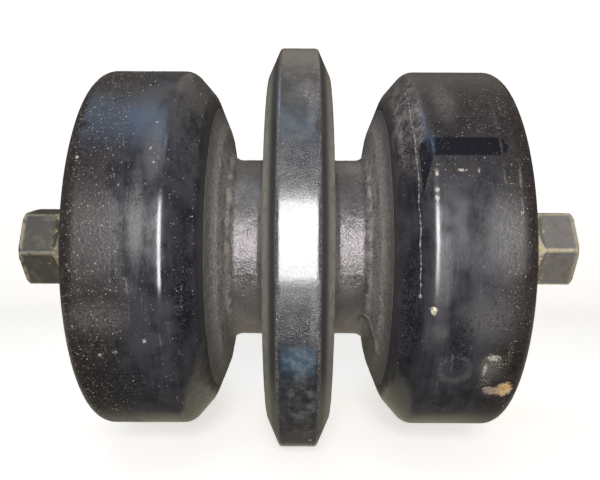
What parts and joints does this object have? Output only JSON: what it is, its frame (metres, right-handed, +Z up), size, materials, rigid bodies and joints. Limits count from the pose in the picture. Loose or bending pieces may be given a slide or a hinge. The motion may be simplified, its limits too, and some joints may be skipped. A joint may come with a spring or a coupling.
{
  "type": "track roller",
  "caption": "Track roller with a centre guide flange between two wide treads, turning on a fixed sealed shaft with hexagonal ends.",
  "frame": {"origin": "on the shaft's axis, at the middle of the roller's width", "axes": "+Y along the shaft towards the end with the oil filling plug, +Z up"},
  "size_m": [0.225, 0.312, 0.225],
  "materials": {
    "shell_paint": "black semi-gloss paint over a machined forging",
    "collar_paint": "thin black paint",
    "shaft_steel": "machined, greyed with storage, flats milled",
    "plug_steel": "turned",
    "bush_bronze": "machined bronze",
    "seal_iron": "lapped faces",
    "seal_rubber": "matt"
  },
  "bodies": {
    "shaft": {"shaft": "shaft_steel", "oil_fill_plug": "plug_steel", "left_collar": "collar_paint", "left_collar_pin": "plug_steel", "left_collar_o_ring": "seal_rubber", "left_collar_seal_ring": "seal_iron", "left_collar_toric_ring": "seal_rubber", "right_collar": "collar_paint", "right_collar_pin": "plug_steel", "right_collar_o_ring": "seal_rubber", "right_collar_seal_ring": "seal_iron", "right_collar_toric_ring": "seal_rubber"},
    "roller": {"roller_shell": "shell_paint", "left_bush": "bush_bronze", "left_thrust_washer": "bush_bronze", "left_shell_seal_ring": "seal_iron", "left_shell_toric_ring": "seal_rubber", "right_bush": "bush_bronze", "right_thrust_washer": "bush_bronze", "right_shell_seal_ring": "seal_iron", "right_shell_toric_ring": "seal_rubber"}
  },
  "joints": [
    {"name": "roller_spin", "type": "hinge", "parent": "shaft", "child": "roller", "pos_m": [0, 0, 0], "axis": [0, 1, 0], "continuous": true}
  ]
}
